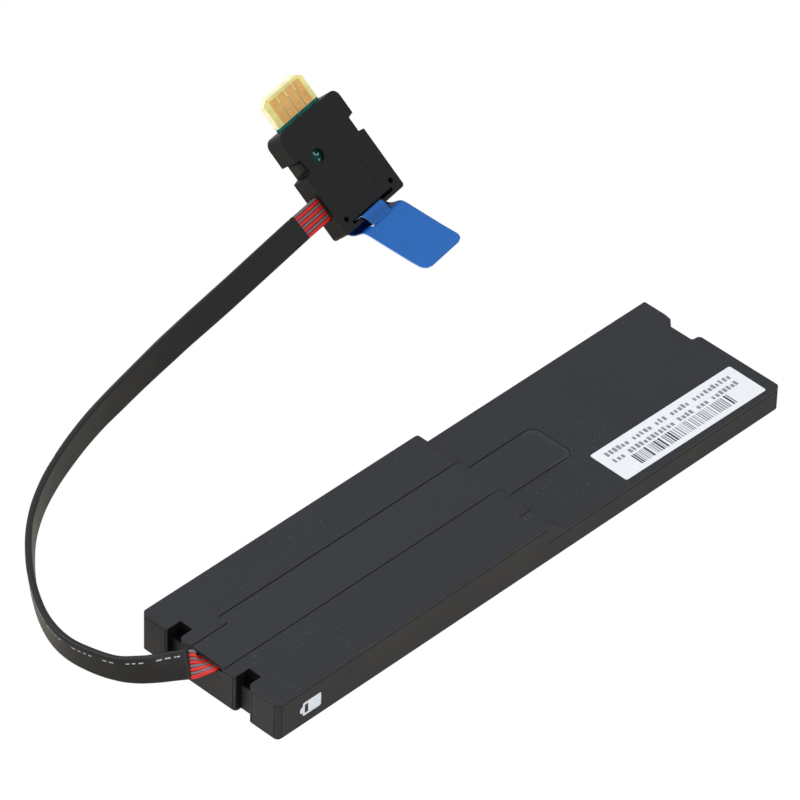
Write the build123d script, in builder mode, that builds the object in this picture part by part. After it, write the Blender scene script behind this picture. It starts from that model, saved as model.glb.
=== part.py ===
from build123d import *
from math import cos, sin, tan, radians, sqrt
import os

os.makedirs("parts", exist_ok=True)

# Housing of the battery module, millimetres, X along the length, origin under its middle
module_width = 46.6
thin_length = 83.0
wall = 1.2
floor_plate = 1.1
cover_plate = 1.05
corner_radius = 1.3
sharp_corner_radius = 0.3
ramp_run = 3.6
ramp_round = 2.4
ramp_foot_round = 0.6
skirt_lap = 2.0
parting_groove_height = 0.15
parting_groove_depth = 0.3
corner_groove_width = 0.15
corner_groove_depth = 0.3

# Cells and what packs them, in the thick part
cell_length = 81.0
cell_height = 7.0
cell_end_gap = 7.5
cell_ramp_gap = 6.5
cell_middle_gap = 0.8
cell_edge_radius = 2.2
cell_end_bevel = 0.3
foam_width = 1.3
foam_end_gap = 6.0
foam_top_gap = 1.4
pad_thickness = 0.4
pad_length = 20.0
pad_width = 12.0
pad_end_gap = 4.0
sheet_thickness = 0.15
sheet_end_gap = 0.5
sheet_side_gap = 1.9

# Protection board in the thin part
board_thickness = 1.0
board_cell_gap = 9.0
board_far_gap = 8.5
board_side_gap = 2.1
component_headroom = 2.65
post_height = 1.1
post_radius = 1.6
post_inset = 3.5
pin_radius = 0.7
pin_hole_clearance = 0.15
pin_height = 1.5
divider_height = 1.9
divider_thickness = 0.9
divider_lap = 3.4
strip_width = 3.0
strip_thickness = 0.15
strip_spacing = 7.0
strip_board_lap = 2.4
strip_pin_gap = 0.2
gauge_size = (7.0, 7.0, 1.0)
mosfet_size = (5.0, 4.0, 1.5)
fuse_size = (6.1, 2.6, 1.6)
resistor_size = (6.4, 3.2, 0.6)
capacitor_size = (1.6, 0.8, 0.8)
gauge_place = [(31.5, -6.0)]
mosfet_places = [(18.5, 6.0), (18.5, 12.0)]
fuse_place = [(14.5, -12.0)]
resistor_place = [(31.5, 6.0)]
capacitor_places = [(25.5, -12.0), (25.5, -14.0), (38.5, -3.0), (38.5, -5.0), (38.5, -9.0), (24.5, -1.0)]
bead_radius = 0.9
bead_length = 2.2
bead_drop = 2.4

# Leads and flat sleeve
lead_diameter = 0.8
lead_pitch = 0.9
lead_count = 8
lead_headroom = 0.8
lead_landing = 4.0
lead_board_lap = 9.0
solder_length = 1.6
solder_width = 0.6
sleeve_width = 7.2
sleeve_thickness = 1.8

# Cable slot in the cable end
slot_centre_y = 0.3
slot_side_clearance = 1.0
slot_drop = 1.65
slot_rise = 1.55

# Latch notches in the cable end, deep above their ledge and shallow below it
notch_width = 4.25
notch_depth = 4.5
notch_low_depth = 1.95
notch_front_gap = 10.1
notch_rear_gap = 8.75
notch_lip_radius = 1.2
notch_far_lip_radii = [1.06, 0.75]

# Finger notch in the far end
finger_notch_depth = 2.5
finger_notch_width = 7.4
finger_notch_slant = 2.1
finger_notch_rear_gap = 7.3
finger_notch_root_radius = 0.8

# Channel film let into the cover
film_thickness = 0.28
film_recess = 0.3
film_gap = 0.17
film_front_lap = 0.9
film_rear_lap = 4.4
film_flap_lap = 1.35
film_flap_length = 12.1
film_reach = 26.8
film_far_radius = 2.5

# Blank label on the thin part
label_length = 50.8
label_width = 12.7
label_thickness = 0.1
label_end_gap = 3.57
label_side_gap = 1.72
label_corner_radius = 0.6
label_turn = -0.7

# Card edge plug, standing on its rear edge
plug_width = 26.05
plug_length = 31.4
plug_thickness = 5.66
plug_corner = Vector(54.71, 100.40, 0.70)
plug_turn = 10.11
plug_lean = 43.95
plug_plate = 1.1
plug_side_wall = 1.3
plug_front_wall = 1.4
plug_rear_block = 4.4
plug_front_radius = 2.4
plug_rear_bevel = 0.6
plug_board_thickness = 1.6
grip_start_b = 18.3
grip_end_b = 23.4
grip_depth = 2.0
grip_slope = 0.4
rear_slot_low_a = 4.1
rear_slot_high_a = 22.0
rear_slot_b = 1.5
rear_slot_width = 1.0
view_hole_a = 7.9
view_hole_b = 20.8
view_hole_radius = 1.95
rivet_radius = 0.8
rivet_well_depth = 2.2
rivet_height = 0.9
rivet_b = 3.4
rivet_inset = 2.96
tongue_low_a = 4.0
tongue_high_a = 21.1
tongue_reach = 41.2
tongue_side_clearance = 0.1
tongue_corner_side = 3.0
tongue_corner_run = 2.0
tongue_tip_bevel = 0.5
finger_middles = [6.9, 10.3, 13.6, 17.5]
finger_width = 2.4
finger_low_b = 32.6
finger_high_b = 39.1
finger_height = 0.05
plug_lead_b = 9.3
plug_lead_c = 3.2
plug_lead_gap = 9.5
lead_window_low_c = 2.0
lead_window_high_c = 4.4
lead_window_width = 7.5

# Pull tab of tinted film
tab_film = 0.35
tab_neck_low_a = 8.3
tab_neck_width = 8.2
tab_low_a = 4.9
tab_width = 17.2
tab_reach = 25.3
tab_corner_radius = 2.3

# Sizes that follow from those above
thick_length = cell_end_gap + cell_length + cell_ramp_gap
module_length = thick_length + thin_length
half_length = module_length / 2
half_width = module_width / 2
inner_length = module_length - 2 * wall
inner_width = module_width - 2 * wall
pad_top = floor_plate + pad_thickness
sheet_z = pad_top + cell_height
lead_z = sheet_z + sheet_thickness + lead_diameter / 2
thick_height = lead_z + lead_diameter / 2 + lead_headroom + cover_plate
board_z = floor_plate + post_height
board_top = board_z + board_thickness
lead_end_z = board_top + lead_diameter / 2
thin_height = board_top + component_headroom + cover_plate
part_z_thick = thick_height - cover_plate
part_z_thin = thin_height - cover_plate
ramp_start_x = thick_length - half_length
ramp_foot_x = ramp_start_x + ramp_run
skirt_x = ramp_start_x - skirt_lap
cell_start_x = cell_end_gap - half_length
cell_end_x = cell_start_x + cell_length
cell_width = (inner_width - cell_middle_gap) / 2 - foam_width
cell_centre_x = (cell_start_x + cell_end_x) / 2
cell_centre_y = (cell_middle_gap + cell_width) / 2
board_start_x = cell_end_x + board_cell_gap
board_length = half_length - board_far_gap - board_start_x
board_width = inner_width - 2 * board_side_gap
slot_width = lead_count * lead_pitch + 2 * slot_side_clearance
slot_low_y = slot_centre_y - slot_width / 2
slot_high_y = slot_centre_y + slot_width / 2
slot_low_z = lead_z - slot_drop
slot_high_z = lead_z + slot_rise
notch_low_edges_y = [notch_front_gap - half_width, half_width - notch_rear_gap - notch_width]
finger_notch_high_y = half_width - finger_notch_rear_gap - 2 * finger_notch_slant
finger_notch_low_y = finger_notch_high_y - finger_notch_width
film_low_y = slot_low_y - film_front_lap
film_high_y = slot_high_y + film_rear_lap
film_flap_high_y = slot_high_y + film_flap_lap
film_far_x = ramp_start_x + film_reach


def cut_length(points, radii):
    """Length of a run of straight lines whose corners are rounded."""
    total = 0
    for first, second in zip(points[:-1], points[1:]):
        total = total + (Vector(*second) - Vector(*first)).length
    for index, radius in enumerate(radii):
        before = Vector(*points[index + 1]) - Vector(*points[index])
        after = Vector(*points[index + 2]) - Vector(*points[index + 1])
        turn = radians(before.get_angle(after))
        total = total - 2 * radius * tan(turn / 2) + radius * turn
    return total


def bend_radii(points, share=0.45, ceiling=60.0):
    """Corner radii that use a share of the shorter run beside each corner."""
    radii = []
    for before, corner, after in zip(points[:-2], points[1:-1], points[2:]):
        run_in = Vector(*corner) - Vector(*before)
        run_out = Vector(*after) - Vector(*corner)
        turn = radians(run_in.get_angle(run_out))
        shorter = min(run_in.length, run_out.length)
        radii.append(min(share * shorter / tan(turn / 2), ceiling))
    return radii


def corner_near(sketch, x, y):
    """Corner of a plan sketch that lies nearest to a place."""
    return sketch.vertices().sort_by_distance(Vector(x, y, 0))[0]


def housing_outline(notch_reach):
    """Plan outline of the housing with latch notches of one depth and the finger notch."""
    with BuildSketch() as outline:
        Rectangle(module_length, module_width)
        for low_y, far_lip_radius in zip(notch_low_edges_y, notch_far_lip_radii):
            high_y = low_y + notch_width
            with Locations((-half_length, low_y)):
                Rectangle(notch_reach, notch_width, align=(Align.MIN, Align.MIN), mode=Mode.SUBTRACT)
            fillet(corner_near(outline, -half_length, low_y), notch_lip_radius)
            fillet(corner_near(outline, -half_length, high_y), far_lip_radius)
        root_x = half_length - finger_notch_depth
        slant_end_y = finger_notch_high_y + 2 * finger_notch_slant
        with BuildLine() as finger_line:
            Polyline(
                (half_length + 1, finger_notch_low_y),
                (root_x, finger_notch_low_y),
                (root_x, finger_notch_high_y),
                (root_x + finger_notch_slant, finger_notch_high_y + finger_notch_slant),
                (half_length, slant_end_y),
                (half_length + 1, slant_end_y),
                close=True,
            )
        make_face(mode=Mode.SUBTRACT)
        fillet(corner_near(outline, root_x, finger_notch_low_y), finger_notch_root_radius)
        fillet(corner_near(outline, half_length, finger_notch_low_y), notch_lip_radius)
        for x, y in ((-half_length, -half_width), (-half_length, half_width), (half_length, -half_width)):
            fillet(corner_near(outline, x, y), corner_radius)
        fillet(corner_near(outline, half_length, half_width), sharp_corner_radius)
    return outline.sketch


low_outline = housing_outline(notch_low_depth)
high_outline = housing_outline(notch_depth)

# Side profile of the whole housing, thick part, ramp and thin part
crest_point = Vector(ramp_start_x, thick_height, 0)
foot_point = Vector(ramp_foot_x, thin_height, 0)
with BuildSketch(Plane.XZ) as side_profile:
    with BuildLine() as side_line:
        Polyline(
            (-half_length, 0),
            (half_length, 0),
            (half_length, thin_height),
            (ramp_foot_x, thin_height),
            (ramp_start_x, thick_height),
            (-half_length, thick_height),
            close=True,
        )
    make_face()
    fillet(side_profile.vertices().sort_by_distance(crest_point)[0], ramp_round)
    fillet(side_profile.vertices().sort_by_distance(foot_point)[0], ramp_foot_round)

# Part of the side profile above the parting line
with BuildSketch(Plane.XZ) as cover_zone:
    with BuildLine() as cover_zone_line:
        Polyline(
            (-half_length - 1, part_z_thick),
            (skirt_x, part_z_thick),
            (skirt_x, part_z_thin),
            (half_length + 1, part_z_thin),
            (half_length + 1, thick_height + 1),
            (-half_length - 1, thick_height + 1),
            close=True,
        )
    make_face()


def film_region(shrink):
    """Plan of the channel film, drawn in by shrink along its length and at its far end."""
    with BuildSketch() as region:
        far_x = film_far_x - shrink
        with BuildLine() as region_line:
            Polyline(
                (-half_length - 1, film_low_y + shrink),
                (far_x, film_low_y + shrink),
                (far_x, film_high_y - shrink),
                (film_flap_length - half_length, film_high_y - shrink),
                (film_flap_length - half_length, film_flap_high_y - shrink),
                (-half_length - 1, film_flap_high_y - shrink),
                close=True,
            )
        make_face()
        far_corners = region.vertices().group_by(Axis.X)[-1]
        fillet(far_corners, film_far_radius)
    return region.sketch


# Base tray: floor, walls, notches, posts and the divider under the ramp
post_x = [board_start_x + post_inset, board_start_x + board_length - post_inset]
post_y = [post_inset - board_width / 2, board_width / 2 - post_inset]
post_places = [(x, y) for x in post_x for y in post_y]
with BuildPart() as base_tray:
    with BuildSketch() as tray_low_plan:
        add(low_outline)
    extrude(amount=slot_low_z)
    with BuildSketch(Plane.XY.offset(slot_low_z)) as tray_high_plan:
        add(high_outline)
    extrude(amount=thick_height - slot_low_z)
    with BuildSketch(Plane.XZ) as tray_zone:
        add(side_profile.sketch)
        add(cover_zone.sketch, mode=Mode.SUBTRACT)
    extrude(amount=module_width, both=True, mode=Mode.INTERSECT)
    with BuildSketch(Plane.XY.offset(floor_plate)) as tray_hollow:
        Rectangle(inner_length, inner_width)
        for low_y in notch_low_edges_y:
            with Locations((-half_length, low_y - wall)):
                Rectangle(
                    notch_depth + wall,
                    notch_width + 2 * wall,
                    align=(Align.MIN, Align.MIN),
                    mode=Mode.SUBTRACT,
                )
        with Locations((half_length, finger_notch_low_y - wall)):
            Rectangle(
                finger_notch_depth + wall,
                finger_notch_width + 2 * finger_notch_slant + 2 * wall,
                align=(Align.MAX, Align.MIN),
                mode=Mode.SUBTRACT,
            )
    extrude(amount=thick_height, mode=Mode.SUBTRACT)
    # Cable slot, open at the top of the end wall
    with BuildSketch(Plane.XY.offset(slot_low_z)) as slot_cut:
        with Locations((-half_length, slot_centre_y)):
            Rectangle(2 * wall + 1, slot_width)
    extrude(amount=thick_height, mode=Mode.SUBTRACT)
    # Posts with pins that carry the board
    with BuildSketch(Plane.XY.offset(floor_plate)) as posts:
        with Locations(post_places):
            Circle(post_radius)
    extrude(amount=post_height)
    with BuildSketch(Plane.XY.offset(board_z)) as pins:
        with Locations(post_places):
            Circle(pin_radius)
    extrude(amount=pin_height)
    # Low divider between the cells and the board
    with BuildSketch(Plane.XY.offset(floor_plate)) as divider:
        with Locations((ramp_start_x - divider_lap, 0)):
            Rectangle(divider_thickness, inner_width)
    extrude(amount=divider_height)
    # Fine groove under the cover, round the thick part and round the thin part
    for outline, part_z, side in ((high_outline, part_z_thick, Align.MAX), (low_outline, part_z_thin, Align.MIN)):
        with BuildSketch(Plane.XY.offset(part_z - parting_groove_height)) as groove_ring:
            add(outline)
            offset(amount=-parting_groove_depth, mode=Mode.SUBTRACT)
            with Locations((skirt_x, 0)):
                Rectangle(module_length, 2 * module_width, align=(side, Align.CENTER), mode=Mode.INTERSECT)
        extrude(amount=parting_groove_height, mode=Mode.SUBTRACT)
    # Upright grooves beside the rounded corners of the front side and of the cable end
    end_groove_y = [corner_radius - half_width]
    for low_y, far_lip_radius in zip(notch_low_edges_y, notch_far_lip_radii):
        end_groove_y.append(low_y - notch_lip_radius)
        end_groove_y.append(low_y + notch_width + far_lip_radius)
    with BuildSketch() as corner_grooves:
        with Locations([(-half_length, y) for y in end_groove_y]):
            Rectangle(2 * corner_groove_depth, corner_groove_width)
        with Locations([(corner_radius - half_length, -half_width), (half_length - corner_radius, -half_width)]):
            Rectangle(corner_groove_width, 2 * corner_groove_depth)
    extrude(amount=thick_height, mode=Mode.SUBTRACT)
base_tray.part.label = "base_tray"

# Top surface line run past both ends, so that bands below it stay open at the ends
with BuildSketch(Plane.XZ) as long_profile:
    with BuildLine() as long_line:
        Polyline(
            (-module_length, 0),
            (module_length, 0),
            (module_length, thin_height),
            (ramp_foot_x, thin_height),
            (ramp_start_x, thick_height),
            (-module_length, thick_height),
            close=True,
        )
    make_face()
    fillet(long_profile.vertices().sort_by_distance(crest_point)[0], ramp_round)
    fillet(long_profile.vertices().sort_by_distance(foot_point)[0], ramp_foot_round)


def surface_band(outer_drop, inner_drop, start_x, end_x):
    """Band of the side profile between two depths below the top surface."""
    with BuildSketch(Plane.XZ) as outer_side:
        add(long_profile.sketch)
        if outer_drop > 0:
            offset(amount=-outer_drop, kind=Kind.INTERSECTION, mode=Mode.REPLACE)
    with BuildSketch(Plane.XZ) as inner_side:
        add(long_profile.sketch)
        offset(amount=-inner_drop, kind=Kind.INTERSECTION, mode=Mode.REPLACE)
    with BuildSketch(Plane.XZ) as band:
        add(outer_side.sketch)
        add(inner_side.sketch, mode=Mode.SUBTRACT)
        with Locations((start_x, part_z_thin)):
            Rectangle(
                end_x - start_x,
                thick_height,
                align=(Align.MIN, Align.MIN),
                mode=Mode.INTERSECT,
            )
    return band.sketch


# Recess for the channel film, open at the cable end
with BuildPart() as film_recess_cut:
    with BuildSketch(Plane.XZ) as recess_side:
        add(surface_band(0, film_recess, -half_length - 1, film_far_x + 1))
    extrude(amount=module_width, both=True)
    with BuildSketch() as recess_plan:
        add(film_region(0))
    extrude(amount=thick_height + 1, mode=Mode.INTERSECT)

# Top cover: plate, ramp, skirts and the recess for the channel film
with BuildPart() as top_cover:
    with BuildSketch() as cover_plan:
        add(high_outline)
    extrude(amount=thick_height)
    with BuildSketch(Plane.XZ) as cover_side:
        add(side_profile.sketch)
        add(cover_zone.sketch, mode=Mode.INTERSECT)
    extrude(amount=module_width, both=True, mode=Mode.INTERSECT)
    # Hollow below the ramp, between the skirts
    with BuildSketch(Plane.XZ) as under_ramp:
        add(side_profile.sketch)
        offset(amount=-cover_plate, kind=Kind.INTERSECTION, mode=Mode.REPLACE)
        with Locations((skirt_x, part_z_thin)):
            Rectangle(
                half_length - skirt_x - wall,
                thick_height,
                align=(Align.MIN, Align.MIN),
                mode=Mode.INTERSECT,
            )
    extrude(amount=inner_width / 2, both=True, mode=Mode.SUBTRACT)
    # Upper part of the cable slot
    with BuildSketch(Plane.XY.offset(part_z_thick)) as slot_roof:
        with Locations((-half_length, slot_centre_y)):
            Rectangle(2 * wall + 1, slot_width)
    extrude(amount=slot_high_z - part_z_thick, mode=Mode.SUBTRACT)
    add(film_recess_cut.part, mode=Mode.SUBTRACT)
top_cover.part.label = "top_cover"

# Channel film: one thin strip with a narrower flap over the cable slot
with BuildPart() as channel_film:
    with BuildSketch(Plane.XZ) as film_side:
        add(surface_band(film_recess - film_thickness, film_recess, 0.1 - half_length, film_far_x))
    extrude(amount=module_width, both=True)
    with BuildSketch() as film_plan:
        add(film_region(film_gap))
    extrude(amount=thick_height + 1, mode=Mode.INTERSECT)
channel_film.part.label = "channel_film"

# Blank label on the thin part
label_x = half_length - label_end_gap - label_length / 2
label_y = label_side_gap + label_width / 2 - half_width
with BuildPart() as white_label:
    with BuildSketch(Plane.XY.offset(thin_height)) as label_plan:
        with Locations(Location((label_x, label_y, 0), (0, 0, label_turn))):
            RectangleRounded(label_length, label_width, label_corner_radius)
    extrude(amount=label_thickness)
white_label.part.label = "white_label"

# Two flat cells side by side in the thick part
with BuildPart() as cell_front:
    with BuildSketch(Plane.YZ.offset(cell_start_x)) as cell_section:
        with Locations((-cell_centre_y, pad_top + cell_height / 2)):
            RectangleRounded(cell_width, cell_height, cell_edge_radius)
    extrude(amount=cell_length)
    chamfer(cell_front.edges().filter_by(Plane.YZ), cell_end_bevel)
cell_front.part.label = "cell_front"
with BuildPart() as cell_rear:
    mirror(cell_front.part, about=Plane.XZ)
cell_rear.part.label = "cell_rear"

# Adhesive pads below the cells
with BuildPart() as cell_pads:
    with BuildSketch(Plane.XY.offset(floor_plate)) as pad_plan:
        pad_edge = pad_end_gap + pad_length / 2
        pad_x = [cell_start_x + pad_edge, cell_end_x - pad_edge]
        with Locations([(x, y) for x in pad_x for y in (-cell_centre_y, cell_centre_y)]):
            Rectangle(pad_length, pad_width)
    extrude(amount=pad_thickness)
cell_pads.part.label = "cell_pads"

# Foam strips between the cells and the long walls
foam_centre_y = inner_width / 2 - foam_width / 2
with BuildPart() as side_foam:
    with BuildSketch(Plane.XY.offset(floor_plate)) as foam_plan:
        with Locations((cell_centre_x, -foam_centre_y), (cell_centre_x, foam_centre_y)):
            Rectangle(cell_length - 2 * foam_end_gap, foam_width)
    extrude(amount=pad_thickness + cell_height - foam_top_gap)
side_foam.part.label = "side_foam"

# Insulation sheet over both cells
with BuildPart() as insulation_sheet:
    with BuildSketch(Plane.XY.offset(sheet_z)) as sheet_plan:
        with Locations((cell_centre_x, 0)):
            Rectangle(
                cell_length - 2 * sheet_end_gap,
                2 * cell_width + cell_middle_gap - 2 * sheet_side_gap,
            )
    extrude(amount=sheet_thickness)
insulation_sheet.part.label = "insulation_sheet"

# Protection board on its posts
with BuildPart() as protection_board:
    with BuildSketch(Plane.XY.offset(board_z)) as board_plan:
        with Locations((board_start_x + board_length / 2, 0)):
            Rectangle(board_length, board_width)
        with Locations(post_places):
            Circle(pin_radius + pin_hole_clearance, mode=Mode.SUBTRACT)
    extrude(amount=board_thickness)
protection_board.part.label = "protection_board"

# Nickel strips from the cell ends to the board
outer_strip_y = post_y[1] - pin_radius - strip_pin_gap - strip_width / 2
strip_middles = [outer_strip_y, outer_strip_y - strip_spacing]
with BuildPart() as cell_tabs:
    with BuildSketch(Plane.XY.offset(board_top)) as strip_plan:
        with Locations([(cell_end_x, side * y) for y in strip_middles for side in (-1, 1)]):
            Rectangle(board_cell_gap + strip_board_lap, strip_width, align=(Align.MIN, Align.CENTER))
    extrude(amount=strip_thickness)
cell_tabs.part.label = "cell_tabs"


def chip_body(size, places):
    """Moulded chip bodies with bevelled tops, placed from the near end of the board."""
    with BuildPart() as chips:
        for x, y in places:
            with BuildSketch(Plane.XY.offset(board_top)) as foot_print:
                with Locations((board_start_x + x, y)):
                    Rectangle(size[0], size[1])
            extrude(amount=size[2])
        top_edges = chips.faces().filter_by(Axis.Z).group_by(Axis.Z)[-1].edges()
        chamfer(top_edges, 0.15 * min(size))
    return chips.part


gauge_chip = chip_body(gauge_size, gauge_place)
gauge_chip.label = "gauge_chip"
mosfet_pair = chip_body(mosfet_size, mosfet_places)
mosfet_pair.label = "mosfet_pair"
resettable_fuse = chip_body(fuse_size, fuse_place)
resettable_fuse.label = "resettable_fuse"
sense_resistor = chip_body(resistor_size, resistor_place)
sense_resistor.label = "sense_resistor"
chip_capacitors = chip_body(capacitor_size, capacitor_places)
chip_capacitors.label = "chip_capacitors"

# Thermistor bead against the end of the front cell
with BuildPart() as thermistor:
    with BuildSketch(Plane.YZ.offset(cell_end_x)) as bead_section:
        with Locations((-cell_centre_y, sheet_z - bead_drop)):
            Circle(bead_radius)
    extrude(amount=bead_length)
    chamfer(thermistor.edges().group_by(Axis.X)[-1], bead_radius / 2)
thermistor.part.label = "thermistor"

# Leads from the board over the cells, out of the slot and round to the sleeve
channel_centre_y = 2.0
sleeve_start = Vector(-4.6 - half_length, 3.6, lead_z + 0.05)
sleeve_start_aim = Vector(-0.52, 0.85, -0.1).normalized()
lead_middle = Vector(-2.75 - half_length, 1.15, lead_z + 0.05)
lead_middle_pitch = 1.12
lead_stop = sleeve_start - sleeve_start_aim * 0.4
sleeve_start_rise = (Vector(0, 0, 1) - sleeve_start_aim * sleeve_start_aim.Z).normalized()


def battery_lead_points(step):
    """Corner points of one lead, a step counted from the middle of the row."""
    shift = step * lead_pitch
    slant = step * lead_middle_pitch / sqrt(2)
    return [
        (board_start_x + lead_board_lap, channel_centre_y + shift, lead_end_z),
        (board_start_x + lead_landing, channel_centre_y + shift, lead_end_z),
        (cell_end_x + 2.3, channel_centre_y + shift, lead_z),
        (cell_end_x - 27.5, channel_centre_y + shift, lead_z),
        (cell_start_x + 29.5, slot_centre_y + shift, lead_z),
        (-0.4 - half_length, slot_centre_y + shift, lead_z),
        (lead_middle.X + 0.3 * slant, lead_middle.Y + 0.95 * slant, lead_middle.Z + slant),
        tuple(lead_stop + sleeve_start_rise * shift),
    ]


def lead_solid(points, radii):
    """Slim lead along straight runs with rounded corners."""
    with BuildPart() as lead:
        with BuildLine() as route:
            if radii:
                FilletPolyline(*points, radius=radii)
            else:
                Polyline(*points)
        start_aim = Vector(*points[1]) - Vector(*points[0])
        with BuildSketch(Plane(origin=points[0], z_dir=start_aim)) as lead_section:
            RegularPolygon(lead_diameter / 2, 8)
        sweep()
    return lead.part


def lead_group(steps, point_maker, name):
    """Several leads of one colour as one node."""
    section_area = 8 * (lead_diameter / 2) ** 2 * sin(radians(45)) / 2
    leads = []
    for step in steps:
        points = point_maker(step)
        radii = bend_radii(points, share=0.4, ceiling=12.0)
        lead = lead_solid(points, radii)
        expected = cut_length(points, radii) * section_area
        if radii:
            print(name, "smallest bend", round(min(radii), 2), "volume ratio", round(lead.volume / expected, 3))
        leads.append(lead)
    group = Compound(children=leads)
    group.label = name
    return group


grey_steps = [-2.5, -0.5, 1.5, 3.5]
red_steps = [-3.5, -1.5, 0.5, 2.5]
battery_leads_grey = lead_group(grey_steps, battery_lead_points, "battery_leads_grey")
battery_leads_red = lead_group(red_steps, battery_lead_points, "battery_leads_red")

# Solder row that holds the lead ends on the board
row_steps = [index - (lead_count - 1) / 2 for index in range(lead_count)]
with BuildPart() as lead_solder:
    with BuildSketch(Plane.XY.offset(board_top)) as solder_plan:
        with Locations([(board_start_x + lead_board_lap, channel_centre_y + step * lead_pitch) for step in row_steps]):
            Rectangle(solder_length, solder_width, align=(Align.MIN, Align.CENTER))
    extrude(amount=lead_diameter, taper=8)
lead_solder.part.label = "lead_solder"

# Plug frame: a across, b toward the tongue, c out of the top face
plug_across = Vector(cos(radians(plug_turn)), sin(radians(plug_turn)), 0)
plug_flat = Vector(-sin(radians(plug_turn)), cos(radians(plug_turn)), 0)
plug_along = plug_flat * cos(radians(plug_lean)) + Vector(0, 0, 1) * sin(radians(plug_lean))
plug_up = plug_across.cross(plug_along)
plug_plane = Plane(origin=plug_corner, x_dir=plug_across, z_dir=plug_up)


def plug_point(a, b, c):
    """World point of plug coordinates."""
    return plug_corner + plug_across * a + plug_along * b + plug_up * c


# Plan of the plug body with rounded front corners, side grips and the slot for the pull tab
with BuildSketch() as plug_outline:
    Rectangle(plug_width, plug_length, align=(Align.MIN, Align.MIN))
    fillet(plug_outline.vertices().group_by(Axis.Y)[-1], plug_front_radius)
    chamfer(plug_outline.vertices().group_by(Axis.Y)[0], plug_rear_bevel)
    for side_a, toward in ((0, 1), (plug_width, -1)):
        with BuildLine() as grip_line:
            Polyline(
                (side_a - toward, grip_start_b),
                (side_a, grip_start_b),
                (side_a + toward * grip_depth, grip_start_b + grip_slope),
                (side_a + toward * grip_depth, grip_end_b - grip_slope),
                (side_a, grip_end_b),
                (side_a - toward, grip_end_b),
                close=True,
            )
        make_face(mode=Mode.SUBTRACT)
    with Locations(((rear_slot_low_a + rear_slot_high_a) / 2, rear_slot_b)):
        SlotCenterToCenter(
            rear_slot_high_a - rear_slot_low_a - rear_slot_width,
            rear_slot_width,
            mode=Mode.SUBTRACT,
        )

board_low_c = (plug_thickness - plug_board_thickness) / 2
board_high_c = board_low_c + plug_board_thickness
grip_middle_b = (grip_start_b + grip_end_b) / 2
cavity_high_b = plug_length - plug_front_wall
rivet_places = [(rivet_inset, rivet_b), (plug_width - rivet_inset, rivet_b)]


def plug_shell(low_c, high_c):
    """One half of the plug shell, hollow toward the board."""
    with BuildPart() as shell:
        with BuildSketch(Plane.XY.offset(low_c)) as shell_plan:
            add(plug_outline.sketch)
        extrude(amount=high_c - low_c)
        inner_low = max(low_c, plug_plate)
        inner_high = min(high_c, plug_thickness - plug_plate)
        with BuildSketch(Plane.XY.offset(inner_low)) as shell_hollow:
            with Locations((plug_width / 2, (plug_rear_block + cavity_high_b) / 2)):
                Rectangle(plug_width - 2 * plug_side_wall, cavity_high_b - plug_rear_block)
            with Locations((0, grip_middle_b), (plug_width, grip_middle_b)):
                Rectangle(
                    2 * (grip_depth + plug_side_wall),
                    grip_end_b - grip_start_b + 2 * plug_side_wall,
                    mode=Mode.SUBTRACT,
                )
        extrude(amount=inner_high - inner_low, mode=Mode.SUBTRACT)
        # Front opening for the tongue
        with BuildSketch(Plane.XY.offset(board_low_c)) as tongue_opening:
            with Locations(((tongue_low_a + tongue_high_a) / 2, plug_length)):
                Rectangle(tongue_high_a - tongue_low_a, 2 * plug_front_wall + 2)
        extrude(amount=plug_board_thickness, mode=Mode.SUBTRACT)
        # Window for the lead row in one side wall
        with BuildSketch(Plane.XY.offset(lead_window_low_c)) as lead_window:
            with Locations((0, plug_lead_b)):
                Rectangle(2 * plug_side_wall + 1, lead_window_width)
        extrude(amount=lead_window_high_c - lead_window_low_c, mode=Mode.SUBTRACT)
    return shell.part


plug_shell_bottom = plug_plane.location * plug_shell(0, plug_thickness / 2)
plug_shell_bottom.label = "plug_shell_bottom"
shell_top_blank = plug_shell(plug_thickness / 2, plug_thickness)
with BuildPart() as shell_top_cut:
    add(shell_top_blank)
    with BuildSketch(Plane.XY.offset(plug_thickness)) as view_hole:
        with Locations((view_hole_a, view_hole_b)):
            Circle(view_hole_radius)
    extrude(amount=-plug_plate - 0.5, mode=Mode.SUBTRACT)
    with BuildSketch(Plane.XY.offset(plug_thickness)) as rivet_wells:
        with Locations(rivet_places):
            Circle(rivet_radius)
    extrude(amount=-rivet_well_depth, mode=Mode.SUBTRACT)
plug_shell_top = plug_plane.location * shell_top_cut.part
plug_shell_top.label = "plug_shell_top"

# Rivet pins at the bottom of the wells in the rear corners of the top shell
with BuildPart() as plug_pins_flat:
    with BuildSketch(Plane.XY.offset(plug_thickness - rivet_well_depth)) as pin_plan:
        with Locations(rivet_places):
            Circle(rivet_radius)
    extrude(amount=rivet_height)
plug_pins = plug_plane.location * plug_pins_flat.part
plug_pins.label = "plug_pins"

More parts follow.
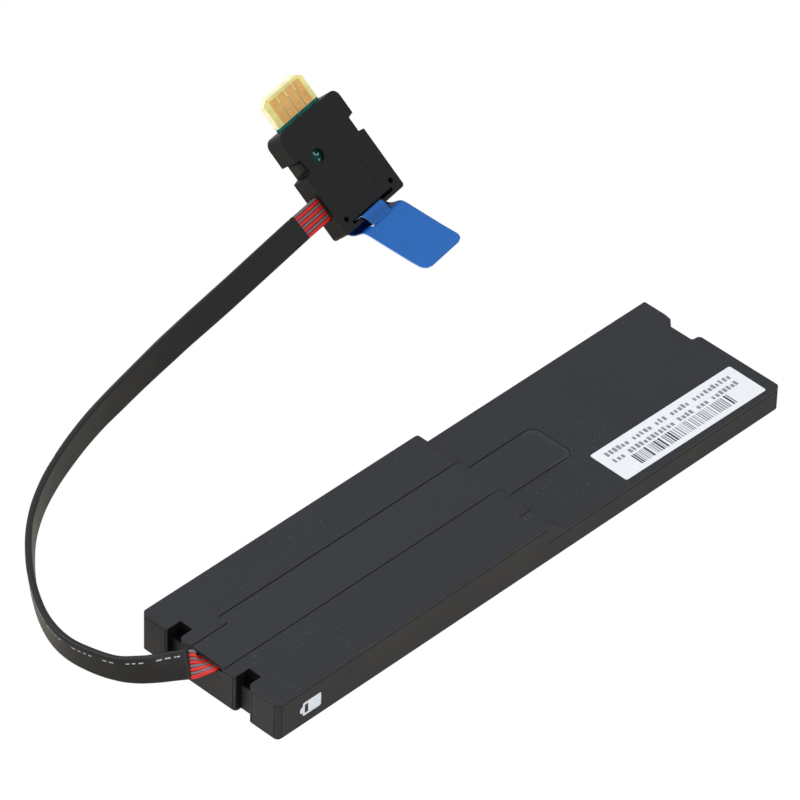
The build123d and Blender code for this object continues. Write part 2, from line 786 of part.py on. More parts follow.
# Plug board with its card edge tongue
board_rear_b = plug_rear_block + 0.6
board_front_b = cavity_high_b - 0.4
board_waist_low_b = grip_start_b - 1.7
board_waist_high_b = grip_end_b + 1.8
board_low_a = plug_side_wall + 0.7
board_waist_a = grip_depth + plug_side_wall + 0.5
board_lead_a = plug_side_wall + 2.1
tongue_left_a = tongue_low_a + tongue_side_clearance
tongue_right_a = tongue_high_a - tongue_side_clearance
with BuildPart() as plug_board_flat:
    with BuildSketch(Plane.XY.offset(board_low_c)) as plug_board_plan:
        with BuildLine() as plug_board_line:
            Polyline(
                (board_lead_a, board_rear_b),
                (plug_width - board_low_a, board_rear_b),
                (plug_width - board_low_a, board_waist_low_b),
                (plug_width - board_waist_a, board_waist_low_b),
                (plug_width - board_waist_a, board_waist_high_b),
                (plug_width - board_low_a, board_waist_high_b),
                (plug_width - board_low_a, board_front_b),
                (tongue_right_a, board_front_b),
                (tongue_right_a, tongue_reach - tongue_corner_run),
                (tongue_right_a - tongue_corner_side, tongue_reach),
                (tongue_left_a + tongue_corner_side, tongue_reach),
                (tongue_left_a, tongue_reach - tongue_corner_run),
                (tongue_left_a, board_front_b),
                (board_low_a, board_front_b),
                (board_low_a, board_waist_high_b),
                (board_waist_a, board_waist_high_b),
                (board_waist_a, board_waist_low_b),
                (board_lead_a, board_waist_low_b),
                close=True,
            )
        make_face()
    extrude(amount=plug_board_thickness)
    tip_edges = plug_board_flat.faces().sort_by(Axis.Y)[-1].edges().filter_by(Axis.X)
    chamfer(tip_edges, tongue_tip_bevel)
plug_board = plug_plane.location * plug_board_flat.part
plug_board.label = "plug_board"

# Gold contact fingers on both faces of the tongue
with BuildPart() as fingers_flat:
    for low_c in (board_high_c, board_low_c - finger_height):
        with BuildSketch(Plane.XY.offset(low_c)) as finger_plan:
            with Locations([(a, (finger_low_b + finger_high_b) / 2) for a in finger_middles]):
                Rectangle(finger_width, finger_high_b - finger_low_b)
        extrude(amount=finger_height)
gold_fingers = plug_plane.location * fingers_flat.part
gold_fingers.label = "gold_fingers"

# Solder joints where the lead ends meet the plug board edge
with BuildPart() as joints_flat:
    with BuildSketch(Plane.XY.offset(board_high_c)) as joint_plan:
        with Locations([(board_lead_a + 0.1, plug_lead_b + step * lead_pitch) for step in row_steps]):
            Rectangle(solder_length, solder_width, align=(Align.MIN, Align.CENTER))
    extrude(amount=0.3)
plug_solder = plug_plane.location * joints_flat.part
plug_solder.label = "plug_solder"


def plug_lead_points(step):
    """End points of one plug lead, from the sleeve to the board edge."""
    b = plug_lead_b + step * lead_pitch
    return [tuple(plug_point(-plug_lead_gap, b, plug_lead_c)), tuple(plug_point(board_lead_a, b, plug_lead_c))]


plug_leads_grey = lead_group(grey_steps, plug_lead_points, "plug_leads_grey")
plug_leads_red = lead_group(red_steps, plug_lead_points, "plug_leads_red")

# Flat sleeve, upright on its narrow edge, leaning over toward the plug
sleeve_end = plug_point(-plug_lead_gap, plug_lead_b, plug_lead_c)
sleeve_mid_z = sleeve_width / 2 + 0.05
sleeve_corners = [
    (-102.9, 19.0, sleeve_mid_z),
    (-106.0, 36.5, sleeve_mid_z),
    (-95.0, 56.6, sleeve_mid_z),
    (-76.6, 75.2, sleeve_mid_z),
    (-49.0, 87.6, sleeve_mid_z),
    (-24.0, 93.6, sleeve_mid_z),
]
sleeve_radii = bend_radii(sleeve_corners)
print("sleeve bends", [round(radius, 1) for radius in sleeve_radii])


def sleeve_station(centre, aim, lean_aim):
    """Plane across the sleeve, its Y direction up the width of the sleeve."""
    return Plane(origin=centre, x_dir=aim.cross(lean_aim).normalized(), z_dir=aim.normalized())


def leaning(aim, lean):
    """Width direction that leans outward by an angle from the vertical."""
    side = Vector(0, 0, 1).cross(aim).normalized()
    return side * sin(radians(lean)) + Vector(0, 0, 1) * cos(radians(lean))


run_start_aim = (Vector(*sleeve_corners[1]) - Vector(*sleeve_corners[0])).normalized()
run_end_aim = (Vector(*sleeve_corners[-1]) - Vector(*sleeve_corners[-2])).normalized()
with BuildPart() as sleeve_run:
    with BuildLine() as sleeve_route:
        FilletPolyline(*sleeve_corners, radius=sleeve_radii)
    start_plane = sleeve_station(Vector(*sleeve_corners[0]), run_start_aim, Vector(0, 0, 1))
    with BuildSketch(start_plane) as run_section:
        Rectangle(sleeve_thickness, sleeve_width)
    sweep()
expected_run = cut_length(sleeve_corners, sleeve_radii) * sleeve_thickness * sleeve_width
print("sleeve run volume ratio", round(sleeve_run.part.volume / expected_run, 3))

housing_stations = [
    (sleeve_start, sleeve_start_aim, 0),
    (Vector(-99.2, 11.6, 6.6), Vector(-0.40, 0.88, -0.26), 0),
    (Vector(*sleeve_corners[0]), run_start_aim, 0),
]
plug_stations = [
    (Vector(*sleeve_corners[-1]), run_end_aim, 0),
    (Vector(-6.0, 97.2, 4.2), Vector(0.98, 0.18, 0.04), 18),
    (Vector(14.0, 99.9, 5.5), Vector(0.98, 0.15, 0.08), 34),
    (Vector(30.0, 102.0, 7.0), Vector(0.98, 0.15, 0.09), 43),
    (sleeve_end, plug_across, 46.05),
]


def sleeve_loft(stations):
    """Twisting end of the sleeve through a few stations."""
    with BuildPart() as end_piece:
        for centre, aim, lean in stations:
            with BuildSketch(sleeve_station(centre, aim, leaning(aim, lean))) as section:
                Rectangle(sleeve_thickness, sleeve_width)
        loft()
    return end_piece.part


housing_end = sleeve_loft(housing_stations)
plug_end = sleeve_loft(plug_stations)
with BuildPart() as cable_sleeve:
    add(sleeve_run.part)
    add(housing_end)
    add(plug_end)
print("sleeve solids", len(cable_sleeve.part.solids()), "volume", round(cable_sleeve.part.volume, 1))
cable_sleeve.part.label = "cable_sleeve"


def side_view(b, c):
    """Side view point of plug coordinates, level distance and height from the plug corner."""
    lean = radians(plug_lean)
    return (b * cos(lean) - c * sin(lean), b * sin(lean) + c * cos(lean))


# Pull tab: wide sheet from the ground to below the plug, its neck looped through the slot
tab_ground_z = tab_film / 2 - plug_corner.Z
tab_bar_gap = tab_film / 2 + 0.25
tab_sheet_points = [(-tab_reach, tab_ground_z), (-6.0, 2.35), (-2.2, -0.05), (0.1, -0.45)]
tab_sheet_radii = [2.0, 1.6]
tab_neck_points = [
    (-2.2, -0.05),
    (0.1, -0.45),
    side_view(rear_slot_b, -0.33),
    side_view(rear_slot_b, plug_thickness + tab_bar_gap),
    side_view(-0.3, plug_thickness + tab_bar_gap),
    (-6.3, 2.64),
    (-7.6, 2.40),
]
tab_neck_radii = [0.5, 0.35, 0.5, 0.8, 1.0]
tab_plane = Plane(origin=plug_corner, x_dir=plug_flat, z_dir=plug_across)
tab_plan_plane = Plane(origin=plug_corner - Vector(0, 0, 5), x_dir=plug_across, z_dir=(0, 0, 1))
with BuildPart() as tab_neck:
    with BuildSketch(tab_plane.offset(tab_neck_low_a)) as neck_side:
        with BuildLine() as neck_route:
            FilletPolyline(*tab_neck_points, radius=tab_neck_radii)
        trace(line_width=tab_film)
    extrude(amount=tab_neck_width)
with BuildPart() as pull_tab:
    with BuildSketch(tab_plane) as sheet_side:
        with BuildLine() as sheet_route:
            FilletPolyline(*tab_sheet_points, radius=tab_sheet_radii)
        trace(line_width=tab_film)
    extrude(amount=plug_width)
    with BuildSketch(tab_plan_plane) as sheet_plan_cut:
        with Locations((tab_low_a + tab_width / 2, -0.3 - tab_reach / 2)):
            RectangleRounded(tab_width, tab_reach, tab_corner_radius)
    extrude(amount=20, mode=Mode.INTERSECT)
    add(tab_neck.part)
pull_tab.part.label = "pull_tab"

exports = {
    "base_tray": base_tray.part,
    "top_cover": top_cover.part,
    "channel_film": channel_film.part,
    "white_label": white_label.part,
    "cell_front": cell_front.part,
    "cell_rear": cell_rear.part,
    "cell_pads": cell_pads.part,
    "side_foam": side_foam.part,
    "insulation_sheet": insulation_sheet.part,
    "protection_board": protection_board.part,
    "cell_tabs": cell_tabs.part,
    "gauge_chip": gauge_chip,
    "mosfet_pair": mosfet_pair,
    "resettable_fuse": resettable_fuse,
    "sense_resistor": sense_resistor,
    "chip_capacitors": chip_capacitors,
    "thermistor": thermistor.part,
    "lead_solder": lead_solder.part,
    "battery_leads_grey": battery_leads_grey,
    "battery_leads_red": battery_leads_red,
    "cable_sleeve": cable_sleeve.part,
    "plug_leads_grey": plug_leads_grey,
    "plug_leads_red": plug_leads_red,
    "plug_shell_bottom": plug_shell_bottom,
    "plug_shell_top": plug_shell_top,
    "plug_pins": plug_pins,
    "plug_board": plug_board,
    "gold_fingers": gold_fingers,
    "plug_solder": plug_solder,
    "pull_tab": pull_tab.part,
}
for name, shape in exports.items():
    export_step(shape, "parts/" + name + ".step")
    box = shape.bounding_box()
    print(name, "solids", len(shape.solids()), "volume", round(shape.volume, 1), "valid", shape.is_valid,
          [round(v, 2) for v in (*box.min, *box.max)])
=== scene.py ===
# Raid battery module: materials, flat cable, leads, print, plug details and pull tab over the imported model
import bpy
import bmesh
import math
import random
from mathutils import Matrix, Vector


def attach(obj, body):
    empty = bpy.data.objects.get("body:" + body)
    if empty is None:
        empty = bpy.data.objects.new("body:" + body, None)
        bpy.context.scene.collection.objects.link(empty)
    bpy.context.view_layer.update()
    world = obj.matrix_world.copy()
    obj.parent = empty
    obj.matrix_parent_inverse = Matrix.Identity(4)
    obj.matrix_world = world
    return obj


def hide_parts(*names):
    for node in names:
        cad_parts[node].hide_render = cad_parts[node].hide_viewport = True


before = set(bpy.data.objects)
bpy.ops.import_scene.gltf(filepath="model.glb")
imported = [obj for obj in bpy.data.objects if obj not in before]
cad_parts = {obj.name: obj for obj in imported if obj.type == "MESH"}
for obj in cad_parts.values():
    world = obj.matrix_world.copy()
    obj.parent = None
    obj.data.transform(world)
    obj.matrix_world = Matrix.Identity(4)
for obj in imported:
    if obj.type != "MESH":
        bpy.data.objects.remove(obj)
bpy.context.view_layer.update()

MM = 0.001

# Heights and lead pitch of the model in millimetres, and the rise of dark lines and dots over a face
thick_top = 11.3
thin_top = 6.9
label_top = 7.0
lead_pitch = 0.9
line_rise = 0.005


def mm(*values):
    """Point given in millimetres, in metres."""
    return Vector([v * MM for v in values])


# Camera at the photograph's angle
camera_data = bpy.data.cameras.new("photo_camera")
camera_data.sensor_fit = "HORIZONTAL"
camera_data.sensor_width = 36.0
photo_pixels = 800
focal_pixels = 7084.4
camera_data.lens = focal_pixels / photo_pixels * camera_data.sensor_width
camera_data.clip_start = 0.05
camera_data.clip_end = 20
camera = bpy.data.objects.new("photo_camera", camera_data)
bpy.context.scene.collection.objects.link(camera)
camera_right = Vector((0.69994, -0.71380, 0.02383)).normalized()
camera_up = Vector((0.44615, 0.46305, 0.76585)).normalized()
camera_back = camera_right.cross(camera_up).normalized()
camera_up = camera_back.cross(camera_right).normalized()
camera_place = mm(-972.98, -892.67, 1146.64)
camera.matrix_world = Matrix((
    (camera_right.x, camera_up.x, camera_back.x, camera_place.x),
    (camera_right.y, camera_up.y, camera_back.y, camera_place.y),
    (camera_right.z, camera_up.z, camera_back.z, camera_place.z),
    (0, 0, 0, 1),
))
bpy.context.scene.camera = camera
bpy.context.scene.view_settings.view_transform = "Standard"
bpy.context.scene.view_settings.look = "None"


# Plug frame, as in the model: a across, b toward the tongue, c out of the top face
plug_corner = Vector((54.71, 100.40, 0.70))
plug_turn = math.radians(10.11)
plug_lean = math.radians(43.95)
plug_across = Vector((math.cos(plug_turn), math.sin(plug_turn), 0))
plug_flat = Vector((-math.sin(plug_turn), math.cos(plug_turn), 0))
plug_along = plug_flat * math.cos(plug_lean) + Vector((0, 0, 1)) * math.sin(plug_lean)
plug_up = plug_across.cross(plug_along)


def plug_point(a, b, c):
    """Row frame point in metres of plug coordinates in millimetres."""
    return (plug_corner + plug_across * a + plug_along * b + plug_up * c) * MM


# Middle of the row of leads where it enters the plug
entry_b, entry_c = 9.3, 3.2


def link(obj):
    """Object put into the scene."""
    bpy.context.scene.collection.objects.link(obj)
    return obj


def mesh_object(name, vertices, faces, material, smooth=False):
    """New mesh piece that rides on the one body."""
    mesh = bpy.data.meshes.new(name)
    mesh.from_pydata([tuple(v) for v in vertices], [], faces)
    mesh.materials.append(material)
    mesh.update()
    obj = link(bpy.data.objects.new(name, mesh))
    for polygon in mesh.polygons:
        polygon.use_smooth = smooth
    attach(obj, "root")
    return obj


def curve_line(name, places, resolution=12):
    """Points along a smooth open line with these control points."""
    data = bpy.data.curves.new(name, "CURVE")
    data.dimensions = "3D"
    data.resolution_u = resolution
    line = data.splines.new("NURBS")
    line.points.add(len(places) - 1)
    for point, place in zip(line.points, places):
        point.co = (*place, 1.0)
    line.order_u = 3
    line.use_endpoint_u = True
    holder = bpy.data.objects.new(name, data)
    mesh = bpy.data.meshes.new_from_object(holder)
    result = [v.co.copy() for v in mesh.vertices]
    bpy.data.objects.remove(holder)
    return result


# Route of the flat sleeve, the same points as in the model, its start moved to where the photograph has it
sleeve_width = 7.2 * MM
sleeve_thickness = 1.8 * MM
route = [
    mm(-92.0, 3.5, 9.1),
    mm(-94.2, 6.4, 8.2),
    mm(-98.6, 12.0, 5.8),
    mm(-103.0, 19.8, 3.95),
    mm(-106.0, 36.5, 3.65),
    mm(-95.0, 56.6, 3.65),
    mm(-76.6, 75.2, 3.65),
    mm(-49.0, 87.6, 3.65),
    mm(-24.0, 93.6, 3.7),
    mm(-6.0, 97.2, 4.2),
    mm(14.0, 99.9, 5.5),
    mm(30.0, 102.0, 7.0),
    plug_point(-9.5, entry_b, entry_c),
]
route_lean = [-40, -32, -12, 0, 6, 7, 6, 12, 20, 30, 40, 46, 46]
sleeve_path = curve_line("sleeve_line", route)


def path_lengths(points):
    """Length along a line up to each of its points."""
    total = [0.0]
    for a, b in zip(points[:-1], points[1:]):
        total.append(total[-1] + (b - a).length)
    return total


sleeve_lengths = path_lengths(sleeve_path)
sleeve_total = sleeve_lengths[-1]


def nearest_fraction(place):
    """Share of the sleeve's length at the path point nearest to a place."""
    index = min(range(len(sleeve_path)), key=lambda i: (sleeve_path[i] - place).length)
    return sleeve_lengths[index] / sleeve_total


lean_keys = [(nearest_fraction(p), a) for p, a in zip(route, route_lean)]


def smooth_keys(keys, t):
    """Smooth value between sorted keys."""
    if t <= keys[0][0]:
        return keys[0][1]
    for (t0, v0), (t1, v1) in zip(keys[:-1], keys[1:]):
        if t <= t1:
            s = (t - t0) / max(t1 - t0, 1e-9)
            s = s * s * (3 - 2 * s)
            return v0 + (v1 - v0) * s
    return keys[-1][1]


def sleeve_frame(fraction):
    """Centre, forward, outward and width directions at a share of the sleeve's length."""
    distance = min(max(fraction, 0.0), 1.0) * sleeve_total
    index = 0
    while index < len(sleeve_path) - 2 and sleeve_lengths[index + 1] < distance:
        index += 1
    step = sleeve_lengths[index + 1] - sleeve_lengths[index]
    s = (distance - sleeve_lengths[index]) / step
    centre = sleeve_path[index].lerp(sleeve_path[index + 1], s)
    before = sleeve_path[max(index - 1, 0)]
    after = sleeve_path[min(index + 2, len(sleeve_path) - 1)]
    here = (sleeve_path[index + 1] - sleeve_path[index]).normalized()
    last = (sleeve_path[index] - before).normalized() if index > 0 else here
    following = (after - sleeve_path[index + 1]).normalized() if index + 2 < len(sleeve_path) else here
    forward = ((last + here) * (1 - s) + (here + following) * s).normalized()
    side = Vector((0, 0, 1)).cross(forward).normalized()
    lean = math.radians(smooth_keys(lean_keys, fraction))
    up = forward.cross(-side).normalized()
    if up.z < 0:
        up = -up
    width = (side * math.sin(lean) + up * math.cos(lean)).normalized()
    out = width.cross(forward).normalized()
    if out.dot(side) < 0:
        out = -out
    return centre, forward, out, width


# Material tools
def new_material(name):
    """Empty material with its nodes, its links and one shader."""
    material = bpy.data.materials.new(name)
    material.use_nodes = True
    nodes = material.node_tree.nodes
    nodes.clear()
    output = nodes.new("ShaderNodeOutputMaterial")
    shader = nodes.new("ShaderNodeBsdfPrincipled")
    material.node_tree.links.new(shader.outputs["BSDF"], output.inputs["Surface"])
    return material, nodes, material.node_tree.links, shader


def feed(links, socket, value):
    """Link a socket to another one, or set it to a constant."""
    if isinstance(value, bpy.types.NodeSocket):
        links.new(value, socket)
    else:
        socket.default_value = value


def noise(nodes, links, coordinate, scale, detail=3.0, roughness=0.5):
    """Grey noise pattern."""
    node = nodes.new("ShaderNodeTexNoise")
    node.inputs["Scale"].default_value = scale
    node.inputs["Detail"].default_value = detail
    node.inputs["Roughness"].default_value = roughness
    links.new(coordinate, node.inputs["Vector"])
    return node.outputs["Fac"]


def ramp(nodes, links, value, stops):
    """Colour of a value between these stops."""
    node = nodes.new("ShaderNodeValToRGB")
    elements = node.color_ramp.elements
    while len(elements) < len(stops):
        elements.new(0.5)
    for element, (place, colour) in zip(elements, stops):
        element.position = place
        element.color = (*colour, 1.0)
    links.new(value, node.inputs["Fac"])
    return node.outputs["Color"]


def map_range(nodes, links, value, from_min, from_max, to_min=0.0, to_max=1.0, kind="LINEAR"):
    """Value carried over from one range into another."""
    node = nodes.new("ShaderNodeMapRange")
    node.interpolation_type = kind
    node.inputs["From Min"].default_value = from_min
    node.inputs["From Max"].default_value = from_max
    node.inputs["To Min"].default_value = to_min
    node.inputs["To Max"].default_value = to_max
    links.new(value, node.inputs["Value"])
    return node.outputs["Result"]


def calculate(nodes, links, operation, first, second):
    """Result of two values."""
    node = nodes.new("ShaderNodeMath")
    node.operation = operation
    feed(links, node.inputs[0], first)
    feed(links, node.inputs[1], second)
    return node.outputs["Value"]


def mix_colour(nodes, links, share, first, second, blend="MIX"):
    """Second colour laid over the first by a share."""
    node = nodes.new("ShaderNodeMix")
    node.data_type = "RGBA"
    node.blend_type = blend
    feed(links, node.inputs["Factor"], share)
    feed(links, node.inputs["A"], first)
    feed(links, node.inputs["B"], second)
    return node.outputs["Result"]


def component(nodes, links, vector, axis):
    """One coordinate of a vector."""
    node = nodes.new("ShaderNodeSeparateXYZ")
    links.new(vector, node.inputs["Vector"])
    return node.outputs[axis]


def bump(nodes, links, height, strength, distance, shader):
    """Fine relief on a shader."""
    node = nodes.new("ShaderNodeBump")
    node.inputs["Strength"].default_value = strength
    node.inputs["Distance"].default_value = distance
    links.new(height, node.inputs["Height"])
    links.new(node.outputs["Normal"], shader.inputs["Normal"])


def object_coordinates(nodes):
    """Place on the piece in metres."""
    return nodes.new("ShaderNodeTexCoord").outputs["Object"]


def moulded(name, dark, light, rough, specular, grain=2600.0, grain_depth=0.00004, specks=0.0, crest=None):
    """Moulded plastic with a fine eroded grain, slow colour drift and tiny pale specks of dust."""
    material, nodes, links, shader = new_material(name)
    where = object_coordinates(nodes)
    fine = noise(nodes, links, where, grain, 4.0, 0.6)
    coarse = noise(nodes, links, where, 60.0, 4.0, 0.55)
    colour = ramp(nodes, links, fine, [(0.3, dark), (0.72, light)])
    drift = ramp(nodes, links, coarse, [(0.3, (0.9, 0.9, 0.9)), (0.7, (1.0, 1.0, 1.0))])
    result = mix_colour(nodes, links, 1.0, colour, drift, blend="MULTIPLY")
    if specks > 0:
        dust = noise(nodes, links, where, 2100.0, 2.0, 0.5)
        patches = noise(nodes, links, where, 38.0, 3.0, 0.6)
        mask = ramp(nodes, links, dust, [(0.68, (0, 0, 0)), (0.76, (1, 1, 1))])
        nearer = map_range(nodes, links, component(nodes, links, where, "X"), 0.05, -0.09, -0.1, 0.1)
        shifted = calculate(nodes, links, "ADD", patches, nearer)
        here = ramp(nodes, links, shifted, [(0.42, (0.04, 0.04, 0.04)), (0.68, (1, 1, 1))])
        amount = calculate(nodes, links, "MULTIPLY", mask, here)
        scaled = calculate(nodes, links, "MULTIPLY", amount, specks)
        result = mix_colour(nodes, links, scaled, result, (0.22, 0.23, 0.25, 1))
    links.new(result, shader.inputs["Base Color"])
    rough_stops = [(0.3, (rough - 0.05,) * 3), (0.7, (rough + 0.05,) * 3)]
    roughness = ramp(nodes, links, coarse, rough_stops)
    if crest is not None:
        along = component(nodes, links, where, "X")
        band = map_range(nodes, links, along, crest[0] * MM, crest[1] * MM)
        mask = ramp(nodes, links, band, [
            (0.0, (0, 0, 0)), (0.25, (1, 1, 1)), (0.75, (1, 1, 1)), (1.0, (0, 0, 0))])
        normal = nodes.new("ShaderNodeTexCoord").outputs["Normal"]
        facing = map_range(nodes, links, component(nodes, links, normal, "Z"), 0.3, 0.6, 0.0, 0.45)
        share = calculate(nodes, links, "MULTIPLY", mask, facing)
        roughness = mix_colour(nodes, links, share, roughness, (1, 1, 1, 1))
    links.new(roughness, shader.inputs["Roughness"])
    shader.inputs["Specular IOR Level"].default_value = specular
    bump(nodes, links, fine, 0.6, grain_depth, shader)
    return material


def plain(name, colour, roughness, metallic=0.0, drift=0.06, scale=900.0, depth=0.00001, specular=0.5):
    """Smooth finish with a slight drift of colour and a fine bump."""
    material, nodes, links, shader = new_material(name)
    where = object_coordinates(nodes)
    value = noise(nodes, links, where, scale, 3.0, 0.55)
    low = tuple(max(c * (1 - drift), 0) for c in colour)
    high = tuple(min(c * (1 + drift), 1) for c in colour)
    links.new(ramp(nodes, links, value, [(0.3, low), (0.7, high)]), shader.inputs["Base Color"])
    shader.inputs["Roughness"].default_value = roughness
    shader.inputs["Metallic"].default_value = metallic
    shader.inputs["Specular IOR Level"].default_value = specular
    bump(nodes, links, value, 0.5, depth, shader)
    return material


def film_with_painted_shade(name, light, deep, start, end):
    """Tinted film darkened by painted shade along the plug's level direction, from start to end in
    millimetres.
    """
    material, nodes, links, shader = new_material(name)
    where = object_coordinates(nodes)
    drift = noise(nodes, links, where, 90.0, 3.0, 0.55)
    stops = [(place, tuple(c * factor for c in light)) for place, factor in ((0.3, 0.95), (0.7, 1.05))]
    bright = ramp(nodes, links, drift, stops)
    level = nodes.new("ShaderNodeVectorMath")
    level.operation = "DOT_PRODUCT"
    level.inputs[1].default_value = tuple(plug_flat)
    links.new(where, level.inputs[0])
    base = plug_corner.dot(plug_flat)
    share = map_range(nodes, links, level.outputs["Value"], (base + start) * MM, (base + end) * MM,
                      kind="SMOOTHSTEP")
    links.new(mix_colour(nodes, links, share, bright, (*deep, 1)), shader.inputs["Base Color"])
    shader.inputs["Roughness"].default_value = 0.34
    shader.inputs["Specular IOR Level"].default_value = 0.25
    bump(nodes, links, drift, 0.5, 0.00001, shader)
    return material


# Materials; the band of the ramp's crest is given along the case in millimetres
ramp_crest = (4.4, 10.2)
housing_material = moulded("housing_plastic", (0.0070, 0.0076, 0.0096), (0.0104, 0.0113, 0.0138),
                           0.56, 0.34, specks=0.42, crest=ramp_crest)
film_material = moulded("film_plastic", (0.0082, 0.0090, 0.0108), (0.0102, 0.0111, 0.0130), 0.5, 0.34,
                        grain=3400.0, grain_depth=0.00002, specks=0.3, crest=ramp_crest)
# Paler band at the channel film's far end: painted highlight
film_highlight_band_material = moulded("film_highlight_band", (0.0140, 0.0148, 0.0168), (0.0165, 0.0175, 0.0195), 0.5, 0.36,
                             grain=3400.0, grain_depth=0.00002)
plug_material = moulded("plug_plastic", (0.0040, 0.0037, 0.0036), (0.0060, 0.0056, 0.0054), 0.5, 0.21)
# Near black for the pin wells and the tab slot: painted shade in these recesses
recess_shade_material = plain("plug_recess_shade", (0.002, 0.002, 0.002), 0.6, specular=0.1)
sleeve_material = moulded("sleeve_shrink", (0.0056, 0.0054, 0.0050), (0.0080, 0.0078, 0.0073), 0.46, 0.25,
                          grain=1400.0)
label_material = plain("label_paper", (0.645, 0.645, 0.66), 0.5, drift=0.02, specular=0.3)
ink_material = plain("label_ink", (0.03, 0.03, 0.035), 0.6, drift=0.3, scale=3000.0, specular=0.2)
grey_ink_material = plain("label_ink_light", (0.20, 0.20, 0.215), 0.6, drift=0.3, scale=3000.0,
                          specular=0.2)
print_material = plain("white_print", (0.56, 0.62, 0.68), 0.5, drift=0.05)
dash_material = plain("dash_print", (0.31, 0.32, 0.33), 0.5, drift=0.35, scale=2400.0)
grey_lead_material = plain("lead_grey", (0.13, 0.095, 0.105), 0.38, specular=0.4)
red_lead_material = plain("lead_red", (0.48, 0.013, 0.010), 0.36, drift=0.1, specular=0.3)
gold_material = plain("contact_gold", (0.66, 0.37, 0.11), 0.36, metallic=0.55, drift=0.12, scale=420.0)
bare_board_material = plain("board_bare", (0.62, 0.56, 0.20), 0.35, drift=0.16, scale=260.0, specular=0.4)
bare_edge_material = plain("board_bare_edge", (0.77, 0.72, 0.46), 0.3, drift=0.1, scale=400.0, specular=0.5)
board_material = plain("board_green", (0.001, 0.088, 0.078), 0.45, drift=0.45, scale=420.0, specular=0.2)
dark_chip_material = plain("chip_black", (0.01, 0.01, 0.01), 0.5)
metal_material = plain("nickel", (0.7, 0.69, 0.66), 0.3, metallic=1.0)
can_material = plain("cell_can", (0.75, 0.76, 0.78), 0.35, metallic=1.0)
sheet_material = plain("insulating_paper", (0.75, 0.68, 0.5), 0.7)
foam_material = plain("foam_black", (0.03, 0.03, 0.03), 0.9, depth=0.0001)
fuse_material = plain("fuse_body", (0.2, 0.17, 0.05), 0.6)
ceramic_material = plain("ceramic_chip", (0.55, 0.42, 0.3), 0.5)
tab_material = plain("tab_film", (0.008, 0.098, 0.345), 0.34, drift=0.05, scale=90.0, specular=0.25)
tab_colour = (0.008, 0.094, 0.335)
# Sheet and neck grow dark towards the plug and its slot: painted shade
sheet_film_material = film_with_painted_shade("tab_sheet_film", tab_colour, (0.003, 0.03, 0.24), -5.9, -3.2)
neck_film_material = film_with_painted_shade("tab_neck_film", (0.007, 0.085, 0.30), (0.004, 0.02, 0.10), -3.7, -2.3)
# Paler blue on the film's cut rims: painted highlight along the edges of the tab
tab_edge_highlight_material = plain("tab_film_edge_highlight", (0.25, 0.36, 0.72), 0.4, specular=0.4)
hairline_material = plain("hairline", (0.0012, 0.0012, 0.0013), 0.7, specular=0.05)
# Near black for the joint line in the plug's top face, and for the painted shade at the left grip
seam_and_shade_material = plain("plug_seam", (0.003, 0.003, 0.003), 0.6, specular=0.13)

node_materials = {
    "base_tray": housing_material,
    "top_cover": housing_material,
    "channel_film": film_material,
    "white_label": label_material,
    "cell_front": can_material,
    "cell_rear": can_material,
    "cell_pads": foam_material,
    "side_foam": foam_material,
    "insulation_sheet": sheet_material,
    "protection_board": board_material,
    "cell_tabs": metal_material,
    "gauge_chip": dark_chip_material,
    "mosfet_pair": dark_chip_material,
    "resettable_fuse": fuse_material,
    "sense_resistor": dark_chip_material,
    "chip_capacitors": ceramic_material,
    "thermistor": dark_chip_material,
    "lead_solder": metal_material,
    "battery_leads_grey": grey_lead_material,
    "battery_leads_red": red_lead_material,
    "plug_leads_grey": grey_lead_material,
    "plug_leads_red": red_lead_material,
    "plug_shell_bottom": plug_material,
    "plug_shell_top": plug_material,
    "plug_pins": recess_shade_material,
    "plug_board": board_material,
    "gold_fingers": gold_material,
    "plug_solder": metal_material,
    "pull_tab": tab_material,
    "cable_sleeve": sleeve_material,
}
for node_name, node_material in node_materials.items():
    node_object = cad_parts[node_name]
    node_object.data.materials.clear()
    node_object.data.materials.append(node_material)

# Flat sleeve as one swept skin with rounded edges and slightly wavy faces
half_width = sleeve_width / 2
half_thick = sleeve_thickness / 2
corner = 0.6 * MM
face_steps = 16


def sleeve_ring(fraction):
    """Outline of the sleeve's section, a little thinner between the leads."""
    ring = []
    swell = 0.02 * MM * math.sin(fraction * 47) + 0.015 * MM * math.sin(fraction * 111 + 1)
    for sign_w, sign_t, start in ((1, 1, 0), (-1, 1, 90), (-1, -1, 180), (1, -1, 270)):
        for step in range(5):
            angle = math.radians(start + step * 22.5)
            ring.append((
                sign_w * (half_width - corner) + corner * math.cos(angle),
                sign_t * (half_thick - corner + swell) + corner * math.sin(angle),
            ))
        if start in (0, 180):
            for k in range(1, face_steps):
                w = sign_w * (half_width - corner) * (1 - 2 * k / face_steps)
                dent = 0.03 * MM * (1 - math.cos(2 * math.pi * w / (lead_pitch * MM))) / 2
                ring.append((w, sign_t * (half_thick + swell - dent)))
    return ring


stations = 220
sleeve_vertices = []
sleeve_faces = []
for station in range(stations + 1):
    centre, _, out, width = sleeve_frame(station / stations)
    ring = sleeve_ring(station / stations)
    count = len(ring)
    for across, deep in ring:
        sleeve_vertices.append(centre + width * across + out * deep)
for station in range(stations):
    for k in range(count):
        a = station * count + k
        b = station * count + (k + 1) % count
        sleeve_faces.append((a, b, b + count, a + count))
sleeve_faces.append(tuple(range(count - 1, -1, -1)))
sleeve_faces.append(tuple(stations * count + k for k in range(count)))
sleeve = mesh_object("sleeve_skin", sleeve_vertices, sleeve_faces, sleeve_material, smooth=True)
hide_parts("cable_sleeve")


